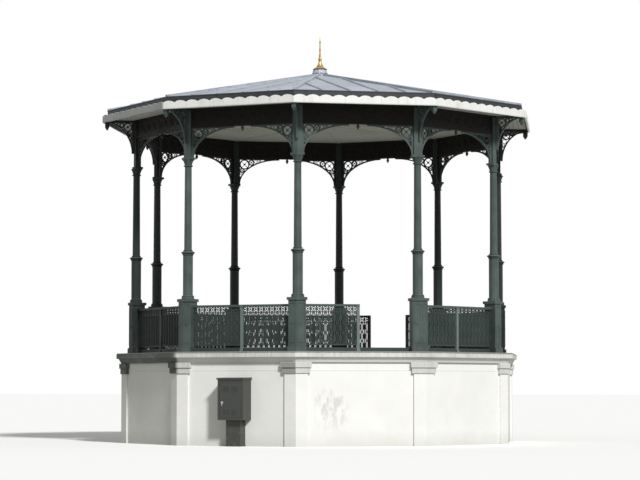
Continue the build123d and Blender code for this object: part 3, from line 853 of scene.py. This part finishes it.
apex = PEDESTAL_HALF / HALF_COS
face_wide = PEDESTAL_HALF * (1 + HALF_TAN)
frame_half = face_wide / 2 - 0.032
panel_mid = (PEDESTAL_TOP + PLINTH_TOP) / 2
panel_half = (PEDESTAL_TOP - PLINTH_TOP) / 2 - 0.07
outline = [(x * frame_half, 0, panel_mid + z * panel_half) for x, z in ((-1, -1), (1, -1), (1, 1), (-1, 1))]
panel = [bar(outline, 0.008, closed=True), placed(lathe(ROSETTE, 12), (0, 0, panel_mid), FACE_ON)]
for side in (-1, 1):
    middle = (CORNER_RING + apex - math.sin(STEP / 2) * face_wide / 2, side * HALF_COS * face_wide / 2, 0)
    turn = Matrix.Rotation(math.pi / 2 + side * STEP / 2, 4, "Z")
    column_work += [placed(shape, middle, turn) for shape in panel]
    for out in (-BOLT_OUT, BOLT_OUT):
        spot = (CORNER_RING + out - BOLT_OUT * 0.08, side * BOLT_ASIDE, PLINTH_TOP)
        column_work.append(placed(lathe(BOLT, 6), spot))
round_ring("column_mouldings", column_work, iron)

# %% [markdown]
# The spandrels and eave brackets are openwork castings: rings of falling size wedged between a straight side
# and the hollow edge. A round bead runs along each ring on both faces, a thin cross with a boss stiffens the
# larger ones, and small rings of rod fill the narrow ends. A ring is found as it was drawn: it touches both
# sides, so its radius follows from the gap at its place.

# %% The rings of the openwork
RING_WIDTH = 0.018
RING_COUNT = 5
CLIMB = 0.001


def ring_radius(place, across, rise, rim):
    """Radius of a ring that touches a bracket's straight side at place and its hollow edge."""
    run = (across - place) / (across + rim)
    fall = math.sqrt(1 - run ** 2)
    gap = rise - (rise + rim) * fall
    slope = (rise + rim) / (across + rim) * run / fall
    return gap / (1 + math.hypot(1, slope))


def first_rings(across, rise, rim):
    """Distances from the corner and radii of the rings along one side, each touching the one before."""
    place = 0
    while ring_radius(place, across, rise, rim) > place:
        place += CLIMB
    rings = [(place, place)]
    while len(rings) < RING_COUNT:
        place += CLIMB
        radius = ring_radius(place, across, rise, rim)
        if (place - rings[-1][0]) ** 2 >= 4 * rings[-1][1] * radius:
            rings.append((place, radius))
    return rings


# %% [markdown]
# A cross would close a ring under 50 mm in radius, and a ring under 16 mm would be a blob of metal, so they
# are left out. A casting is dressed as if its inner corner lay at the origin, and the shapes are then moved
# to its place, mirrored for the other end of an arch.

# %% Beads, crosses and small rings
BEAD_ROD, CROSS_ROD = 0.009, 0.0065
CROSSED_FROM = 0.05
SMALLEST = 0.016


def cross_in(radius, thickness):
    """A cross of thin bars in a ring, with a boss in the middle, in the XZ plane."""
    reach = radius - RING_WIDTH + 0.004
    ends = [(reach * math.cos(a), 0, reach * math.sin(a)) for a in (math.pi / 4, 3 * math.pi / 4)]
    small = min(1.0, radius / 0.09)
    face = [(0.024, thickness / 2 - 0.004), (0.016, thickness / 2 + 0.004), (0, thickness / 2 + 0.008)]
    boss = [(r * small, -z) for r, z in reversed(face)] + [(r * small, z) for r, z in face]
    return [bar([-Vector(end), end], CROSS_ROD) for end in ends] + [placed(lathe(boss, 12), turn=FACE_ON)]


def openwork(across, rise, rim, cast_along, cast_down, thickness):
    """What dresses one casting: shapes round its inner corner, running to +X and down."""
    along = [(place, radius, radius) for place, radius in first_rings(across, rise, rim)]
    down = [(radius, place, radius) for place, radius in first_rings(rise, across, rim)]
    shapes = []
    for x, depth, radius in along[:cast_along] + down[1:cast_down]:
        size = 2 * radius - RING_WIDTH
        work = [hoop(size, size, BEAD_ROD, 20, 6, (0, face * thickness / 2, 0)) for face in (-1, 1)]
        work += cross_in(radius, thickness) if radius > CROSSED_FROM else []
        shapes += [placed(shape, (x, 0, -depth)) for shape in work]
    for x, depth, radius in along[cast_along:] + down[cast_down:]:
        if radius > SMALLEST:
            size = 2 * radius - 0.010
            shapes.append(hoop(size, size, CROSS_ROD, 14, 5, (x, 0, -depth)))
    return shapes


ARCH_RIM, ARCH_LEG, ARCH_ARM, ARCH_TIP = 0.032, 0.040, 0.030, 0.200
across = arch_high.x - ARCH_TIP - ARCH_LEG
rise = arch_high.z - arch_low.z - ARCH_ARM
arch_shapes = openwork(across, rise, ARCH_RIM, 2, 2, 0.040)
arch_work = []
for side in (-1, 1):
    spot = (side * (arch_high.x - ARCH_LEG), -RING_LINE, arch_high.z - ARCH_ARM)
    arch_work += [placed(shape, spot, Matrix.Scale(-side, 4, (1, 0, 0))) for shape in arch_shapes]
round_ring("arch_openwork", arch_work, iron)

BRACKET_RIM, BRACKET_LEG, BRACKET_ARM, BRACKET_DROP = 0.030, 0.115, 0.060, 0.750
bracket_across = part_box("eave_brackets")[1].x - CORNER_RING - BRACKET_LEG
spot = (CORNER_RING + BRACKET_LEG, 0, CEILING - BRACKET_ARM)
bracket_shapes = openwork(bracket_across, BRACKET_DROP - BRACKET_ARM, BRACKET_RIM, 2, 1, 0.045)
round_ring("bracket_openwork", [placed(shape, spot) for shape in bracket_shapes], iron)

# %% [markdown]
# The beams are boxed in timber, with a sunk panel on both faces. In the photograph a faint pattern shows
# along them. Rings with small lozenges between them are a common pattern of the time, cut from board and
# nailed into the panel, so the field tree lays one row of them on each face.

# %% Frieze on the beams
BEAM_HALF_DEPTH = 0.060
PANEL_SUNK = 0.015
FRIEZE_RING, FRIEZE_EYE = 0.230, 0.230 * 0.42
FRIEZE_PITCH = 0.290
FRIEZE_COUNT = 8

beam_low, beam_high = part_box("beams")
frieze_mid = (beam_low.z + beam_high.z) / 2
frieze_ring = [hoop(FRIEZE_RING, FRIEZE_RING, 0.010, 20, 6), hoop(FRIEZE_EYE, FRIEZE_EYE, 0.008, 14)]
lozenge = [bar([(0.028, 0, 0), (0, 0, 0.050), (-0.028, 0, 0), (0, 0, -0.050)], 0.008, 5, closed=True)]
frieze_work = []
for face in (-1, 1):
    line = -RING_LINE + face * (BEAM_HALF_DEPTH - PANEL_SUNK)
    for shapes, count in ((frieze_ring, FRIEZE_COUNT), (lozenge, FRIEZE_COUNT - 1)):
        first = (-(count - 1) * FRIEZE_PITCH / 2, line, frieze_mid)
        frieze_work.append(laid_out(field, shapes, frieze, columns=count, rows=1, pitch=FRIEZE_PITCH,
                                    row_height=0.0, first=first))
round_ring("beam_frieze", frieze_work, frieze)

# %% [markdown]
# A zinc roof is laid between wooden rolls, so that the sheets can move in the heat. The rolls stand on the
# slope at each sheet's edge and run up until they meet a hip, which a small tree works out: a roll's length
# follows from its distance from the middle of the bay. The upright edge is dressed with dark lead, and a
# zinc gutter lies behind the white board.

# %% Roof rolls, edge and gutter
ROLL_HALF, ROLL_HEIGHT = 0.019, 0.032


def roll_tree():
    """Rolls up one slope of the roof, each as long as the hip allows."""
    tree, given = new_tree("rolls", {"Count": "Int", "Pitch": "Float", "Edge line": "Float",
                                     "Edge height": "Float", "Slope": "Float"})
    middle = (given["Count"] - 1.0) / 2.0
    across = (node(tree, "GeometryNodeInputIndex") - middle) * given["Pitch"]
    length = (given["Edge line"] - abs(across) / HALF_TAN) / given["Slope"].maths("COSINE")
    edge = given["Edge line"] * -1.0, given["Edge height"]
    foot = node(tree, "ShaderNodeCombineXYZ", enumerate((across, *edge)))
    points = node(tree, "GeometryNodePoints", {"Count": given["Count"], "Position": foot})
    return finish_tree(tree, given, points, {
        "Rotation": node(tree, "ShaderNodeCombineXYZ", {0: given["Slope"]}),
        "Scale": node(tree, "ShaderNodeCombineXYZ", {0: 1.0, 1: length, 2: 1.0})})


half_section = [(1, -0.004), (0.85, ROLL_HEIGHT * 0.7), (0.4, ROLL_HEIGHT)]
section = [(-x, z) for x, z in half_section] + half_section[::-1]
unit_roll = skin([[(x * ROLL_HALF, y, z) for x, z in section] for y in (0, 1)])
rolls = laid_out(roll_tree(), [unit_roll], zinc, count=SHEETS_PER_BAY - 1, pitch=SHEET_WIDTH,
                 edge_line=ROOF_LINE, edge_height=ROOF_EDGE_TOP, slope=SLOPE)
round_ring("roof_rolls", [rolls], zinc)

LEAD = 0.004
GUTTER_OUTER = BOARD_INNER - 0.001
lead_work = [strip(ROOF_LINE, ROOF_LINE + LEAD, ROOF_FOOT, ROOF_EDGE_TOP),
             strip(ROOF_LINE - 0.010, ROOF_LINE + 0.012, ROOF_EDGE_TOP - 0.016, ROOF_EDGE_TOP + 0.006)]
round_ring("roof_edge_lead", lead_work, lead)
gutter_work = [strip(ROOF_LINE + LEAD, GUTTER_OUTER, ROOF_FOOT, ROOF_FOOT + 0.003),
               strip(BOARD_INNER - 0.006, GUTTER_OUTER, ROOF_FOOT + 0.003, ROOF_FOOT + 0.045)]
round_ring("gutter", gutter_work, zinc)

# %% [markdown]
# Thin strips finish the joints. A white drip bead hangs under the eave board, coves close the corners between
# the ceiling and the beams and behind the board, and cover strips run along the ceiling's ten corner lines to
# a turned rose in the middle.

# %% Beads, coves and the ceiling rose
BEAD = 0.014
COVE, COVE_HEIGHT = 0.035, 0.030
ROSE_RADIUS = 0.32
ROSE = [(0, -0.040), (0.05, -0.040), (0.07, -0.026), (0.15, -0.022), (0.18, -0.034), (0.22, -0.034),
        (0.25, -0.016), (0.31, -0.012), (ROSE_RADIUS, 0)]

drip_bead = strip(EAVE_LINE - 0.032, EAVE_LINE - 0.004, board_low.z - BEAD, board_low.z)
round_ring("eave_drip_bead", [drip_bead], gloss)
inner_face = RING_LINE - BEAM_HALF_DEPTH
outer_face = RING_LINE + BEAM_HALF_DEPTH
cove_work = [strip(inner_face - COVE, inner_face, CEILING - COVE_HEIGHT, CEILING),
             strip(outer_face, outer_face + COVE, CEILING - COVE_HEIGHT, CEILING),
             strip(BOARD_INNER - 0.040, BOARD_INNER, CEILING - 0.022, CEILING)]
round_ring("ceiling_coves", cove_work, frieze)
cover_end = inner_face / HALF_COS - COVE
cover = block((ROSE_RADIUS - 0.02, -0.024, CEILING - 0.010), (cover_end, 0.024, CEILING), 0.003)
round_ring("ceiling_cover_strips", [cover], boards)
lone("ceiling_rose", [placed(lathe(ROSE, 40), (0, 0, CEILING))], boards)

# %% [markdown]
# The spike ends the roof. Its solid is a stack of faceted tapers, and the real one was turned, so a lathe
# profile stands for it: a foot like a bell, a ring, and a long needle with a small knop. Dark lead closes
# the joint under the bell and the edge of the cap's flange.

# %% Gilded spike and collar
SPIKE = [
    (0, 0), (0.140, 0), (0.140, 0.012), (0.130, 0.020), (0.106, 0.036), (0.084, 0.058), (0.067, 0.084),
    (0.054, 0.114), (0.043, 0.146), (0.035, 0.178), (0.030, 0.204), (0.041, 0.211), (0.044, 0.230),
    (0.041, 0.246), (0.028, 0.254), (0.024, 0.300), (0.020, 0.420), (0.016, 0.540), (0.012, 0.620),
    (0.019, 0.630), (0.019, 0.642), (0.011, 0.652), (0.009, 0.690), (0.004, 0.732), (0, 0.740),
]
spike_low, spike_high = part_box("spike")
stretch = (spike_high.z - spike_low.z) / SPIKE[-1][1]
turned = lathe([(r, z * stretch) for r, z in SPIKE], 32)
gilded = lone("gilded_spike", [placed(turned, (0, 0, spike_low.z))], gilt)
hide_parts("spike")

cap_low, cap_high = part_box("roof_cap")
collar_work = [level_ring(0.147, cap_high.z - 0.010, 0.016), level_ring(0.174, cap_low.z + 0.060, 0.010)]
lone("spike_collar", collar_work, lead)

# %% [markdown]
# The cabinet on bay 1 is a plain sheet-steel housing for switches. Its door lies in a shallow frame, hung on
# three barrel hinges, with a turn handle of galvanised steel and two banks of louvres that let warm air out.
# A louvre is a pressed hood, so each is a small wedge, laid out by the field tree.

# %% Cabinet door
HOOD_LIP, HOOD_DEPTH = 0.020, 0.047
DOOR_RIM, DOOR_SUNK = 0.049, 0.012
HINGES = 0.15, 0.5, 0.85
HINGE = [(0.008, -0.035), (0.008, 0.035)]
KNOB = [(0.030, 0), (0.030, 0.006), (0.014, 0.008), (0.014, 0.014), (0, 0.014)]

cab_low, cab_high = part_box("cabinet")
front = cab_low.y + HOOD_LIP
left, right = cab_low.x + HOOD_LIP + DOOR_RIM, cab_high.x - HOOD_LIP - DOOR_RIM
bottom, top = cab_low.z + DOOR_RIM, cab_high.z - HOOD_DEPTH - DOOR_RIM
cabinet_work = [block((left, front + 0.002, bottom), (right, front + DOOR_SUNK, top), 0.002)]
for share in HINGES:
    cabinet_work.append(placed(lathe(HINGE, 10), (right, front - 0.002, bottom + share * (top - bottom))))
handle_at = Vector((left + 0.055, front + 0.002, bottom + 0.42 * (top - bottom)))
knob = placed(lathe(KNOB, 14), handle_at, FACE_ON)
grip = block(handle_at + Vector((-0.010, -0.019, -0.070)), handle_at + Vector((0.010, -0.012, 0.016)), 0.002)
lone("cabinet_handle", [knob, grip], zinc)

# %% [markdown]
# The louvres stand in two columns, with one bank under the door's top edge and one over its lower edge. A
# thin plate at the ground spreads the load of the stand. Both are joined with the door and share its coat.

# %% Louvres and foot plate
LOUVRE_HALF, LOUVRE_ROWS, LOUVRE_PITCH, LOUVRE_APART = 0.075, 6, 0.024, 0.19
PLATE_EDGE, PLATE_HEIGHT = 0.012, 0.025

louvre_points = [(-LOUVRE_HALF, 0, -0.008), (LOUVRE_HALF, 0, -0.008), (LOUVRE_HALF, 0, 0.010),
                 (-LOUVRE_HALF, 0, 0.010), (-0.068, -0.009, -0.008), (0.068, -0.009, -0.008)]
louvre = [Vector(p) for p in louvre_points], [[0, 1, 2, 3], [0, 4, 5, 1], [4, 3, 2, 5], [0, 3, 4], [1, 5, 2]]
for highest in (top - 0.075, bottom + 0.075 + (LOUVRE_ROWS - 1) * LOUVRE_PITCH):
    first = ((left + right) / 2 - LOUVRE_APART / 2, front + 0.002, highest)
    cabinet_work.append(laid_out(field, [louvre], enamel, columns=2, rows=LOUVRE_ROWS, pitch=LOUVRE_APART,
                                 row_height=-LOUVRE_PITCH, first=first))
stand_low, stand_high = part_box("cabinet_stand")
cabinet_work.append(block((stand_low.x - PLATE_EDGE, stand_low.y - PLATE_EDGE, 0),
                          (stand_high.x + PLATE_EDGE, stand_high.y, PLATE_HEIGHT), 0.004))
lone("cabinet_door", cabinet_work, enamel)

# %% [markdown]
# Last, the view transform is set to Standard, so that a paint colour looks as it does on the card.

# %% Finish
bpy.context.scene.view_settings.view_transform = "Standard"
